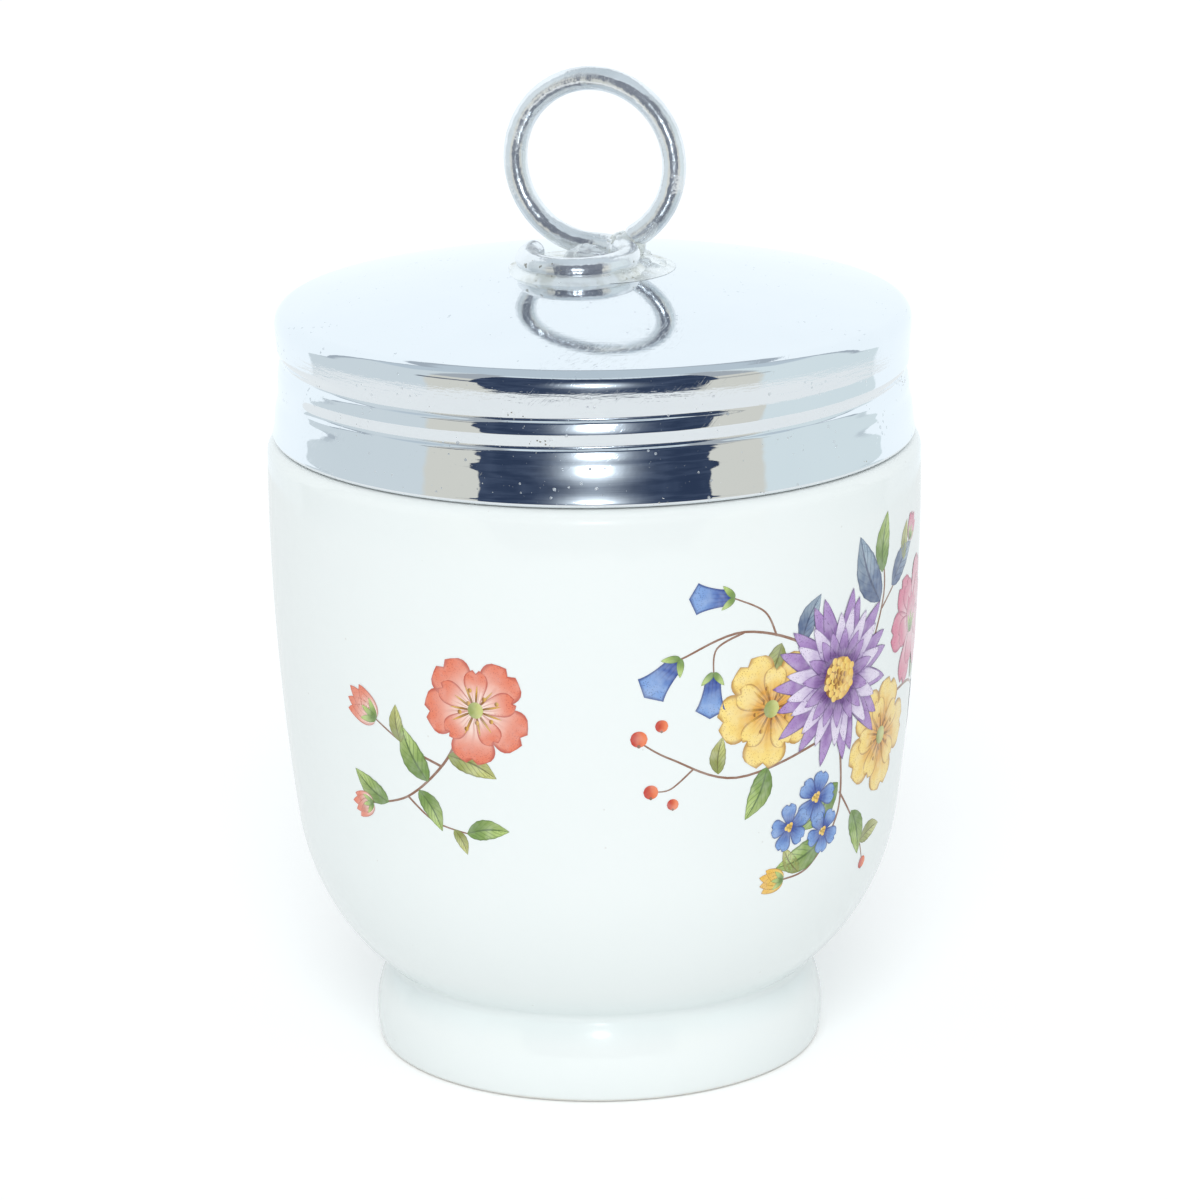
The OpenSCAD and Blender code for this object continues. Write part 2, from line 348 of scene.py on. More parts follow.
for lap in (0, 1):
    a = first + math.tau * lap
    dz = height - (turn["Thread low end"] + a / math.tau * turn["Pitch"])
    waves = []
    for width in ("Width below", "Tail width"):
        t = turn.most(dz / turn["Width above"], dz * -1.0 / turn[width])
        quarter = turn.least(t, 1.0) * (math.pi / 2)
        waves.append(turn.math("POWER", turn.math("COSINE", quarter), 2.0))
    wave = turn.most(waves[0], waves[1] * turn["Tail share"])
    end = turn.least(a, turn["Thread sweep"] - a)
    short = 1.0 - turn.math("DIVIDE", end, turn["Fade"], clamp=True)
    bumps.append(wave * (1.0 - short * short))
bump = turn.most(*bumps) * mask
reach = radius + bump * turn["Thread height"]
swung = turn.xyz(reach * turn.math("COSINE", angle), reach * turn.math("SINE", angle), height)
surface = turn.node("GeometryNodeSetPosition", grid, None, swung)
surface = turn.keep(surface, "groove", bump)
surface = turn.keep(surface, "wrap", turn.xyz(angle, along, radius), "FLOAT_VECTOR")
turn.finish(surface)
print("nodes in the turning tree:", len(turn.tree.nodes))

# %% [markdown]
# ## Glazed porcelain
# Glaze is a thin layer of clear glass over a white body. What makes it read as porcelain and not as plastic is a
# sharp reflection that wavers a little, because the glaze flowed before it set. So the roughness stays low, and
# two faint bumps are added: one as wide as a fingertip, one as fine as orange peel. The glaze is thicker and a
# little bluer where it gathered above the foot, and it is missing from the narrow ring the pot stands on.


# %% Porcelain
def material(name):
    made = bpy.data.materials.new(name)
    made.use_nodes = True
    made.node_tree.nodes.clear()
    return made, Wiring(made.node_tree)


def object_place(w):
    """The point that is being coloured, as a vector and as x, y and z."""
    here = w.node("ShaderNodeTexCoord", out="Object")
    return here, *w.split(here)


def surface_of(w, **named):
    """The last two nodes of every material."""
    w.node("ShaderNodeOutputMaterial", w.node("ShaderNodeBsdfPrincipled", named=labelled(named)))


def relief(w, height, strength, distance, under=None):
    return w.node("ShaderNodeBump", named={"Strength": strength, "Distance": distance, "Height": height,
                                           "Normal": under})


porcelain, w = material("porcelain")
here, _, _, z = object_place(w)
wide = w.noise(here, 55.0, 2.0)
fine = w.noise(here, 900.0, 2.0)
glazed = w.fade(z + wide * 0.0003, 0.0003, 0.0006)
pooled = w.fade(z, 0.0052, 0.0075) * w.fade(z, 0.0125, 0.009)
body = w.blend(wide, (0.86, 0.90, 0.89, 1), (0.885, 0.915, 0.905, 1))
body = w.blend(pooled * 0.3, body, (0.74, 0.83, 0.83, 1))
speck = w.fade(w.cells(here, 260.0), 0.035, 0.022)
body = w.blend(speck * 0.2, body, (0.42, 0.36, 0.3, 1))
body = w.blend(glazed, (0.80, 0.78, 0.73, 1), body)
shine = w.fade(glazed, 0.0, 1.0, 0.62, 0.05) + w.noise(here, 140.0, 3.0) * 0.05
flow = relief(w, wide, 0.10, 0.002)
peel = relief(w, fine, 0.03, 0.0002, flow)
surface_of(w, Base_Color=body, Roughness=shine, IOR=1.52, Normal=peel)
print("porcelain has", len(porcelain.node_tree.nodes), "nodes")

# %% [markdown]
# ## The pot
# The section starts under the pot on its axis, runs out along the hollow, round the foot ring, up the bowl and
# the long, almost straight side, in over the ledge, up the neck, over the rim, and down the inside to the floor
# under the egg. The side and the bowl are two arcs that share a tangent, so no line shows where they meet.


# %% Pot
def pot_line():
    edge = corner(foot_c, foot_face_r, foot_edge_r, foot_edge_r)
    in_r = edge[0] + foot_edge_r - foot_t
    hollow_c = [in_r - foot_draft - hollow_corner_r, foot_hollow - hollow_corner_r]
    under = [[[0, foot_hollow]], arc(hollow_c, hollow_corner_r, 90, 20, 8),
             arc([in_r + foot_edge_r, foot_edge_r], foot_edge_r, 200, 270, 8),
             arc(edge, foot_edge_r, 270, bearing(edge - foot_c), 8)]
    f = meet(foot_c, foot_face_r + foot_fillet_r, bowl_c, bowl_r + foot_fillet_r)
    s = corner(side_c, side_r, ledge_z - shoulder_r, shoulder_r)
    foot_low = bearing(edge - foot_c) - 360
    side_high = bearing(s - side_c)
    out = [arc(foot_c, foot_face_r, foot_low + 1, bearing(f - foot_c), 18),
           arc(f, foot_fillet_r, bearing(foot_c - f) - 8, bearing(bowl_c - f) + 8, 12),
           arc(bowl_c, bowl_r, bearing(f - bowl_c) - 360, -side_lean, 44),
           arc(side_c, side_r, -side_lean + 0.2, side_high, 44), arc(s, shoulder_r, side_high + 6, 90, 12)]
    neck = [arc([neck_r + ledge_fillet_r, ledge_z + ledge_fillet_r], ledge_fillet_r, 270, 180, 8),
            arc([rim_mid_r, pot_h - rim_r], rim_r, 0, 180, 20)]
    throat = ledge_z - throat_h
    in_r, small_r = side_r - wall_t, bowl_r - wall_t
    wall_a = math.degrees(math.asin((throat - side_c[1]) / in_r))
    wall_r = side_c[0] + in_r * math.cos(math.radians(wall_a))
    c = corner(bowl_c, small_r, floor_z + floor_corner_r, floor_corner_r)
    corner_a = bearing(c - bowl_c) - 360
    inner_r = neck_r - neck_t
    inside = [[[inner_r + (wall_r - inner_r) * ease(k / 12), ledge_z - throat_h * k / 12] for k in range(13)],
              arc(side_c, in_r, wall_a - 0.4, -side_lean, 20), arc(bowl_c, small_r, -side_lean - 3, corner_a, 20),
              arc(c, floor_corner_r, corner_a - 5, -90, 12), [[0, floor_z]]]
    return np.vstack([np.array(part, float) for part in under + out + neck + inside])


def on_neck(r, z):
    return float(abs(r - neck_r) < 0.05 and z > ledge_z + ledge_fillet_r)


pot_section, pot_rows = section("pot_section", pot_line(),
                                lambda a, b: 0.2 if on_neck(*a) and on_neck(*b) else 1.8, on_neck)
roll_from, thread_from = math.radians(-156), math.radians(-120)
thread_z = ledge_z + 5 + pitch / 2 + pitch * 36 / 360
pot = grow("pot_body", turn, Section=pot_section, Rows=pot_rows, Material=porcelain, Steps_round=256,
           Thread_start=thread_from, Thread_low_end=thread_z * mm, Thread_sweep=math.radians(390), Pitch=pitch * mm,
           Width_above=0.72 * mm, Width_below=0.72 * mm, Tail_width=mm, Thread_height=thread_h * mm,
           Fade=math.radians(24))

# %% [markdown]
# ## The plating
# Nickel and chromium are plated over the pressed sheet. The plating has no colour of its own: it is a mirror,
# and what it shows is the room. Its life is in small faults. Polishing leaves hair lines that run round the cap,
# wiping leaves slanted scratches, handling leaves dull patches and pale specks, and damp leaves fine brown pits,
# first in the bottom of the rolled thread, where it stays longest. The turning tree kept how deep each point lies
# in the thread, so the pits know where to be.


# %% Plated sheet
plated, w = material("plated_sheet")
here, _, _, z = object_place(w)
groove = w.attribute("groove")
angle, along, _ = w.split(w.attribute("wrap", "Vector"))
lines = w.noise(w.xyz(angle * 2.0, along * 5200.0, angle * 0.7), 1.0, 3.0, 0.6)
patch = w.noise(here, 130.0, 4.0, 0.6)
damp = w.noise(here, 210.0, 2.0)
close = w.most(groove, w.fade(z, 0.0636, 0.0628) * 0.8)
spots = w.cells(here, 2300.0)
many = w.fade(damp, 0.53, 0.78) * w.fade(close, 0.02, 0.5)
pits = w.fade(spots - many * 0.3, 0.06, -0.03)
few = w.fade(w.noise(here, 300.0, 2.0), 0.46, 0.72)
few *= w.fade(z, 0.075, 0.068, 0.18, 0.26)
specks = w.fade(w.cells(here, 1250.0) - few, 0.05, -0.02)
metal = w.blend(patch, (0.80, 0.83, 0.86, 1), (0.84, 0.865, 0.89, 1))
metal = w.blend(pits * 0.7, metal, (0.3, 0.24, 0.14, 1))
dull = w.fade(patch, 0.35, 0.8, 0.002, 0.009) + w.fade(lines, 0.55, 0.8) * 0.012
dull += w.fade(groove, 0.85, 1.0) * 0.12
dull += w.most(pits, specks) * 0.5
across = (angle * 0.031 - along) * 9000.0
scratch = w.noise(w.xyz(angle * 14.0 + along * 450.0, across, 0.0), 1.0, 2.0, 0.6)
scratch = w.fade(scratch, 0.6, 0.7) * w.fade(w.noise(here, 60.0, 1.0), 0.42, 0.6)
dull += scratch * 0.16
streak = w.noise(w.xyz(angle * 8.0, along * 2000.0, 3.0), 1.0, 4.0, 0.6)
pressed = w.most(w.fade(z, 0.0708, 0.0716) * w.fade(z, 0.074, 0.073), 0.1)
hair = relief(w, lines + scratch, 0.1, 2e-5)
hair = relief(w, streak * pressed, 0.6, 3e-5, hair)
dent = relief(w, w.noise(here, 75.0, 5.0, 0.55), 0.05, 0.0007, hair)
pock = relief(w, 1.0 - pits, 0.5, 5e-5, dent)
surface_of(w, Base_Color=metal, Metallic=1.0, Roughness=dull, Normal=pock)
print("plated sheet has", len(plated.node_tree.nodes), "nodes")

# %% [markdown]
# ## The cap
# The cap is one sheet less than half a millimetre thick. Its section is drawn down the inside first, round the
# curled lower edge, and back up the outside to the middle of the dome, so the piece is closed and has a real
# thickness. The rolled thread moves both faces of the sheet inwards together, as the roller did.


# %% Cap
# The lower skirt leans outwards. Its lean, from the curled edge up, is most at both ends and least in the middle
lip_z = [0.0, 0.4, 1.0, 1.6, 2.1, 2.6, 3.1, 3.5, 4.0]
lip_slope = [0.26, 0.16, 0.07, 0.06, 0.09, 0.16, 0.22, 0.20, 0.0]


def cap_step(a, b):
    """Short steps where the thread is rolled into the skirt."""
    return 0.12 if 66 < (a[1] + b[1]) / 2 < 72 and min(a[0], b[0]) > 30 else 1.0


def cap_line(t):
    low, mid = cap_z + curl_t / 2, edge_c[1] - swell_h
    dome_low = bearing(edge_c - dome_c)
    u = np.linspace(0, lip_z[-1], 31)
    slope = np.interp(u, lip_z, lip_slope)
    lip = np.r_[0, np.cumsum(np.diff(u) * (slope[1:] + slope[:-1]) / 2)]
    v = np.linspace(0, 1, 17)[:-1]
    return np.vstack([np.c_[skirt_r - t + flare * (1 - lip / lip[-1]), low + u],
                      np.c_[skirt_r - t + swell * ease(v), mid + swell_h * v],
                      arc(edge_c, edge_r - t, 0, dome_low, 22), arc(dome_c, dome_r - t, dome_low + 0.5, 90, 44)])


curl = arc([skirt_r + flare - curl_t / 2, cap_z + curl_t / 2], curl_t / 2, 140, 350, 16)
cap_points = np.vstack([cap_line(sheet_t)[::-1], curl, cap_line(0)])
cap_section, cap_rows = section("cap_section", cap_points, cap_step, lambda r, z: float(r > 30 and z < 73.5))
cap = grow("cap", turn, Section=cap_section, Rows=cap_rows, Material=plated, Steps_round=292,
           Thread_start=roll_from, Thread_low_end=(ledge_z + 5.22) * mm, Thread_sweep=math.radians(457),
           Pitch=pitch * mm, Width_above=1.3 * mm, Width_below=0.7 * mm, Tail_width=1.55 * mm, Tail_share=0.48,
           Thread_height=-0.46 * mm, Fade=math.radians(24))

# %% [markdown]
# ## Bent wire
# The ring is one length of wire. It starts as a flat coil that lies on the dome, folds upward along its own
# tangent, and goes once round as the upright loop. Both parts are arcs, so a tree can place the points of the
# path by rule, and then draw a round bar along them. The bar shrinks to a point over the last wire radius, which
# rounds off the cut ends. The front of the coil dips a little, down into its solder. The solder bead under the
# coil follows the same path, so it uses the same tree. Its bar is thicker, with an uneven face, and lies so low
# that only a flat ridge of it shows above the dome.


# %% Tree for bent wire
bend = Tree("Bent wire", "Coil radius", "Coil sweep", "Loop radius", "Loop sweep", "Wire radius", "Foot x", "Foot y",
            "Height", "Turn", "Unevenness", "Grain", "Floor", "Dip", Points="Int", Round="Int")
coil_l = bend["Coil radius"] * bend["Coil sweep"]
loop_l = bend["Loop radius"] * bend["Loop sweep"]
whole = coil_l + loop_l
u = bend.node("GeometryNodeInputIndex") / (bend["Points"] - 1)
u -= bend.math("SINE", u * math.tau) * (0.8 / math.tau)
s = u * whole
back = bend.most(coil_l - s, 0.0) / bend["Coil radius"]
on = bend.most(s - coil_l, 0.0) / bend["Loop radius"]
flat_x = bend.math("SINE", back) * bend["Coil radius"]
flat_y = (bend.math("COSINE", back) - 1.0) * bend["Coil radius"]
up_x = bend.math("SINE", on) * (bend["Loop radius"] * -1.0)
up_z = (1.0 - bend.math("COSINE", on)) * bend["Loop radius"]
dip = (bend.math("COSINE", back) - 1.0) * (bend["Dip"] * 0.5)
path = bend.xyz(flat_x + up_x, flat_y, up_z + dip)
line = bend.node("GeometryNodeMeshLine", bend["Points"], None, (0, 0, 0), (0.001, 0, 0))
line = bend.keep(bend.node("GeometryNodeSetPosition", line, None, path), "run", s)
line = bend.node("GeometryNodeMeshToCurve", line)
tip = 1.0 - bend.math("DIVIDE", bend.least(s, whole - s), bend["Wire radius"], clamp=True)
thick = bend.math("SQRT", bend.most(1.0 - tip * tip, 0.0))
ring_shape = bend.node("GeometryNodeCurvePrimitiveCircle", bend["Round"], named={"Radius": bend["Wire radius"]})
tube = bend.node("GeometryNodeCurveToMesh", line, ring_shape, thick)
spot = bend.node("GeometryNodeInputPosition")
ripple = bend.noise(spot, bend["Grain"], 2.0)
push = bend.scale(bend.node("GeometryNodeInputNormal"), (ripple - 0.5) * bend["Unevenness"])
tube = bend.node("GeometryNodeSetPosition", tube, None, None, push)
turned = bend.node("ShaderNodeVectorRotate", bend.node("GeometryNodeInputPosition"), (0, 0, 0), None, bend["Turn"],
                   rotation_type="Z_AXIS")
placed = bend.move("ADD", turned, bend.xyz(bend["Foot x"], bend["Foot y"], bend["Height"]))
px, py, pz = bend.split(placed)
tube = bend.node("GeometryNodeSetPosition", tube, None, bend.xyz(px, py, bend.most(pz, bend["Floor"])))
bend.finish(tube, near=4e-6)
print("nodes in the wire tree:", len(bend.tree.nodes))

# %% [markdown]
# ## Plated wire and solder
# The wire was drawn through a die before it was bent and plated, which leaves faint lines along it and a skin
# that is less even than the cap's. Solder is softer than the plating, so it dulls and darkens first, and it holds
# grey-brown dirt in its hollows.


# %% Wire and solder materials
wire_plate, w = material("plated_wire")
here, _, _, z = object_place(w)
skin = w.noise(here, 420.0, 3.0, 0.6)
drawn = w.noise(here, 1600.0, 2.0)
worn = w.fade(w.noise(here, 170.0, 3.0), 0.42, 0.7)
kinks = w.noise(w.xyz(w.attribute("run") * 210.0, 0.0, 0.0), 1.0, 2.0, 0.5)
low = w.fade(z, 0.0815, 0.0795)
dots = w.fade(w.cells(here, 1700.0) - low * worn * 0.32, 0.06, 0.0)
metal = w.blend(worn, (0.88, 0.90, 0.92, 1), (0.76, 0.785, 0.80, 1))
metal = w.blend(dots * 0.7, metal, (0.24, 0.21, 0.15, 1))
dull = w.fade(skin, 0.3, 0.75, 0.14, 0.27) + dots * 0.3
grain = relief(w, drawn, 0.45, 0.00008)
lumps = relief(w, skin, 0.35, 0.0003, grain)
lumps = relief(w, kinks, 0.5, 0.0006, lumps)
surface_of(w, Base_Color=metal, Metallic=0.82, Roughness=dull, Specular_IOR_Level=0.2, Normal=lumps)

solder, w = material("solder")
here, x, y, _ = object_place(w)
reach = w.math("SQRT", x * x + y * y)
lumpy = w.noise(here, 620.0, 4.0, 0.6)
dirt = w.fade(w.noise(here, 380.0, 3.0, 0.6), 0.46, 0.68)
holes = w.fade(w.cells(here, 1300.0), 0.26, 0.10)
rim = w.fade(reach, 0.0066, 0.008) * 0.5
metal = w.blend(dirt, (0.92, 0.945, 0.95, 1), (0.74, 0.75, 0.71, 1))
metal = w.blend(holes * dirt * 0.7, metal, (0.26, 0.23, 0.15, 1))
dull = w.fade(lumpy, 0.3, 0.7, 0.22, 0.42) + rim * 0.1
lump = relief(w, lumpy, 0.5, 0.0002)
cave = relief(w, 1.0 - holes * dirt, 0.4, 0.0001, lump)
surface_of(w, Base_Color=metal, Metallic=0.7, Roughness=dull, Specular_IOR_Level=0.2, Normal=cave)
print("wire and solder:", len(wire_plate.node_tree.nodes), len(solder.node_tree.nodes), "nodes")

# %% Ring
foot = dict(Coil_radius=coil_r * mm, Foot_x=0.3 * mm, Foot_y=2.6 * mm, Turn=math.radians(-20))
ring = grow("ring", bend, Material=wire_plate, **foot, Coil_sweep=math.radians(290), Loop_radius=(loop_r - 0.08) * mm,
            Loop_sweep=math.radians(337), Wire_radius=(wire_r + 0.07) * mm, Points=460, Round=32,
            Height=(coil_z + 0.07) * mm, Unevenness=0.03 * mm, Grain=160.0, Dip=0.5 * mm)

# %% [markdown]
# ## Solder
# A bead of solder ran round the foot of the coil, and four lumps lie where the iron left them: two on the dome,
# and two that close the fold where the loop comes down beside the coil. Each lump is a ball of fine facets, pushed
# in and out by noise and cut flat below the face of the dome. Bead and lumps turn with the cap, while the round
# pad under them stays with the part of the joint that only rises.

# %% Solder pad, bead and lump
def on_dome(r, above):
    """Height of the dome's outer face at radius r, plus a little."""
    return dome_c[1] + math.sqrt(dome_r**2 - r**2) + above


pad_points = np.array([[r, on_dome(r, 0.02)] for r in np.linspace(0, pad_r, 12)]
                      + [[r, on_dome(r, 0.04 + 0.16 * (1 - (r / pad_r) ** 4))] for r in np.linspace(8.1, 0, 14)])
pad_section, pad_rows = section("pad_section", pad_points, lambda a, b: 1.0, lambda r, z: 0.0)
pad = grow("solder_pad_skin", turn, Section=pad_section, Rows=pad_rows, Material=solder, Steps_round=128,
           Thread_sweep=1.0, Pitch=mm, Width_above=mm, Width_below=mm, Tail_width=mm, Fade=1.0)
solder_floor = (dome_top - 0.4) * mm
bead = grow("solder_bead", bend, Material=solder, **foot, Coil_sweep=math.radians(286), Loop_radius=loop_r * mm,
            Loop_sweep=math.radians(4), Wire_radius=2.15 * mm, Points=200, Round=48, Height=(dome_top - 1.42) * mm,
            Unevenness=0.35 * mm, Grain=520.0, Floor=solder_floor)
lump = Tree("Solder lump", "Wide", "Deep", "High", "Centre x", "Centre y", "Centre z", "Floor", "Roughness", "Grain")
ball = lump.node("GeometryNodeMeshIcoSphere", 1.0, 5)
spot = lump.node("GeometryNodeInputPosition")
swollen = 1.0 + (lump.noise(spot, lump["Grain"], 2.0) - 0.5) * lump["Roughness"]
sized = lump.move("MULTIPLY", lump.scale(spot, swollen), lump.xyz(lump["Wide"], lump["Deep"], lump["High"]))
lx, ly, lz = lump.split(lump.move("ADD", sized, lump.xyz(lump["Centre x"], lump["Centre y"], lump["Centre z"])))
pressed = lump.xyz(lx, ly, lump.most(lz, lump["Floor"]))
lump.finish(lump.node("GeometryNodeSetPosition", ball, None, pressed), near=0)
blobs = [grow(name, lump, Material=solder, Wide=wide * mm, Deep=deep * mm, High=high * mm, Centre_x=cx * mm,
              Centre_y=cy * mm, Centre_z=(dome_top + up) * mm, Floor=solder_floor, Roughness=0.35, Grain=3.4)
         for name, wide, deep, high, cx, cy, up in (("solder_lump", 3.1, 2.2, 1.9, 4.9, 0.2, -1.2),
                                                    ("solder_smear", 2.2, 2.0, 1.6, -5.4, -0.8, -1.15),
                                                    ("solder_fold", 4.2, 1.3, 1.7, 1.4, 2.0, 0.2),
                                                    ("solder_tip", 1.9, 1.6, 1.5, 3.2, 1.15, 1.45))]

# %% [markdown]
# ## A printed spray of flowers
# The decoration on such a pot is a transfer: enamel printed on a film, laid on the glaze by hand and fired. It is
# a drawing made of a few repeated strokes: round petals, slim petals, leaves, dots and bells, joined by fine
# stems. Each stroke is a small flat mesh that knows its own length and width coordinates, which the enamel uses
# to draw veins and shading. A list of points says where each stroke goes, how it is turned, how large it is and
# in which colours. A tree sets the strokes on the points while the drawing is still flat, and then wraps the
# drawing round the pot, a few hundredths of a millimetre above the glaze.


# %% Five strokes
def stroke(name, kind, edge, rows=12, across=4):
    """A flat mesh one unit long and one wide. edge(u, v) gives its outline."""
    points, place, faces = [], [], []
    for i in range(rows + 1):
        for j in range(across + 1):
            u, v = i / rows, 2 * j / across - 1
            points.append((*edge(u, v), 0))
            place.append((u, v, kind))
    for i in range(rows):
        for j in range(across):
            a = i * (across + 1) + j
            faces.append((a, a + across + 1, a + across + 2, a + 1))
    mesh = new_mesh(name, points, faces)
    store(mesh, "place", "FLOAT_VECTOR", place)
    return bpy.data.objects.new(name, mesh)


def round_petal(u, v):
    half = 0.5 * u**0.75 * math.sqrt(max(0.0, 1 - max(0.0, (u - 0.55) / 0.45) ** 2 * 0.85))
    return u * (1 + 0.05 * u * math.cos(2.4 * v) - 0.13 * u**4 * math.exp(-((v / 0.3) ** 2))), v * half


def slim_petal(u, v):
    return u, v * 0.5 * max(0.0, math.sin(math.pi * u**0.72)) ** 0.75


def leaf(u, v):
    teeth = 1 + 0.10 * ((u * 6) % 1 - 0.5) * (0.1 < u < 0.9)
    return u, v * 0.5 * max(0.0, math.sin(math.pi * u**0.8)) ** 0.9 * teeth + 0.16 * math.sin(math.pi * u)


def dot(u, v):
    return u, v * math.sqrt(max(0.0, 0.25 - (u - 0.5) ** 2))


def bell(u, v):
    return u * (1 + 0.10 * u**3 * math.cos(3 * math.pi * v)), v * 0.5 * min(1, (u / 0.12)) ** 0.5 * (0.5 + 0.5 * u**2)


PETAL, SLIM, LEAF, DOT, BELL = range(5)
strokes = bpy.data.collections.new("strokes")
for number, (name, edge) in enumerate([("a_petal", round_petal), ("b_slim", slim_petal), ("c_leaf", leaf),
                                       ("d_dot", dot), ("e_bell", bell)]):
    strokes.objects.link(stroke(name, number, edge, 14 if number == LEAF else 12))


# %% Enamel colours
def shade(red, green, blue):
    """A colour given as on a paint chart, 0 to 255."""
    c = [v / 255 for v in (red, green, blue)]
    return [v / 12.92 if v <= 0.04045 else ((v + 0.055) / 1.055) ** 2.4 for v in c] + [1.0]


# Each colour of enamel is three shades: at the root of the stroke, at its tip, and the line drawn on it
CORAL = (shade(252, 226, 214), shade(232, 128, 98), shade(186, 78, 62))
BLUSH = (shade(250, 222, 226), shade(222, 120, 150), shade(172, 66, 104))
GOLD = (shade(248, 214, 110), shade(240, 190, 84), shade(170, 112, 44))
CREAM = (shade(228, 160, 60), shade(252, 222, 130), shade(176, 122, 50))
PURPLE = (shade(92, 40, 122), shade(176, 140, 200), shade(62, 22, 92))
LILAC = (shade(150, 110, 180), shade(232, 220, 240), shade(96, 56, 132))
BLUE = (shade(48, 78, 160), shade(128, 164, 220), shade(34, 50, 120))
GREEN = (shade(120, 152, 74), shade(186, 208, 122), shade(86, 112, 52))
OLIVE = (shade(150, 160, 84), shade(206, 208, 130), shade(112, 112, 54))
SLATE = (shade(92, 112, 150), shade(158, 178, 194), shade(62, 78, 112))
RED = (shade(196, 52, 30), shade(240, 130, 84), shade(134, 34, 24))
OCHRE = (shade(150, 96, 26), shade(226, 176, 70), shade(110, 66, 20))
BROWN = (shade(138, 96, 78), shade(150, 112, 88), shade(120, 82, 66))


# %% Flowers drawn from strokes
class Drawing:
    """Collects strokes and stems on the unrolled side of the pot, in millimetres."""

    def __init__(self, seed):
        self.marks, self.stems, self.rng = [], [], np.random.default_rng(seed)

    def mark(self, kind, x, y, turn, long, wide, layer, colours):
        self.marks.append((kind, x, y, math.radians(turn), long, wide, layer, *colours))

    def around(self, kind, x, y, count, near, long, wide, layer, colours, turn=0.0, loose=3.0):
        """Strokes in a ring that point outwards."""
        for k in range(count):
            a = turn + 360 * k / count + self.rng.normal(0, loose)
            c, s = math.cos(math.radians(a)), math.sin(math.radians(a))
            size = 1 + self.rng.normal(0, 0.04)
            self.mark(kind, x + near * c, y + near * s, a, long * size, wide, layer, colours)

    def dots(self, x, y, count, spread, size, layer, colours):
        for k in range(count):
            r, a = spread * math.sqrt((k + 0.5) / count), 2.39996 * k
            self.mark(DOT, x + r * math.cos(a) - size / 2, y + r * math.sin(a), 0, size, size, layer, colours)

    def stem(self, *points, wide=0.28):
        """A smooth line through the points, thinner at its end."""
        p = np.array([points[0], *points, points[-1]], float)
        line = []
        for a, b, c, d in zip(p, p[1:], p[2:], p[3:]):
            for t in np.linspace(0, 1, 9)[:-1]:
                line.append(0.5 * (2 * b + (c - a) * t + (2 * a - 5 * b + 4 * c - d) * t**2
                                   + (3 * b - a - 3 * c + d) * t**3))
        line.append(p[-1])
        self.stems.append((np.array(line), wide))

    def leaves(self, colours, *spots, layer=1):
        for x, y, turn, long in spots:
            self.mark(LEAF, x, y, turn, long, long * 0.46, layer, colours)

    def open_flower(self, x, y, r, colours, heart, layer, turn=0.0):
        """Five round petals, stamens and a heart."""
        self.around(PETAL, x, y, 5, 0, r, r * 1.16, layer, colours, turn + 36, 4)
        self.around(PETAL, x, y, 5, 0, r * 0.72, r * 0.62, layer + 1, colours, turn, 5)
        self.around(SLIM, x, y, 11, r * 0.10, r * 0.40, 0.24, layer + 2, heart, turn)
        self.dots(x, y, 9, r * 0.44, 0.44, layer + 3, heart)
        self.dots(x, y, 1, 0, r * 0.3, layer + 4, OLIVE)

    def aster(self, x, y, r, layer, turn=0.0):
        """Three rings of slim petals round a heart of dots."""
        self.around(SLIM, x, y, 19, r * 0.12, r * 0.92, r * 0.27, layer, PURPLE, turn, 4)
        self.around(SLIM, x, y, 17, r * 0.12, r * 0.72, r * 0.24, layer + 1, LILAC, turn + 9, 4)
        self.around(SLIM, x, y, 15, r * 0.14, r * 0.46, r * 0.19, layer + 2, PURPLE, turn + 3, 4)
        self.dots(x, y, 1, 0, r * 0.52, layer + 3, OCHRE)
        self.dots(x, y, 30, r * 0.25, r * 0.085, layer + 4, GOLD)
        self.dots(x, y, 9, r * 0.11, r * 0.07, layer + 5, OCHRE)

    def bud(self, x, y, turn, long, colours, layer=3):
        """Overlapping petals held by three sepals."""
        for swing, size in ((-26, 0.86), (24, 0.9), (-9, 1.0), (8, 0.94)):
            self.mark(SLIM, x, y, turn + swing, long * size, long * 0.46, layer, colours)
        for swing in (-38, 0, 36):
            self.mark(SLIM, x, y, turn + swing, long * 0.5, long * 0.17, layer + 1, GREEN)

    def berries(self, *spots):
        for x, y, size in spots:
            self.mark(DOT, x - size / 2, y, 0, size, size * 0.94, 3, RED)
            self.mark(DOT, x - size * 0.1, y - size * 0.42, 0, size * 0.2, size * 0.2, 4, BROWN)

    def bellflower(self, x, y, turn, long, layer=3):
        self.mark(BELL, x, y, turn, long, long * 0.74, layer, BLUE)
        for swing in (-42, 42):
            self.mark(SLIM, x, y, turn + swing, long * 0.42, long * 0.16, layer + 1, GREEN)


# %% [markdown]
# The small spray is a coral blossom on a bowed stem, with two buds. The large one is a crescent: an aster in the
# middle, primroses on both sides, bells that hang above them, and berries, leaves and small blue flowers at both
# ends. It runs on round the right side of the pot, as such transfers do, so it is drawn to its end there too.

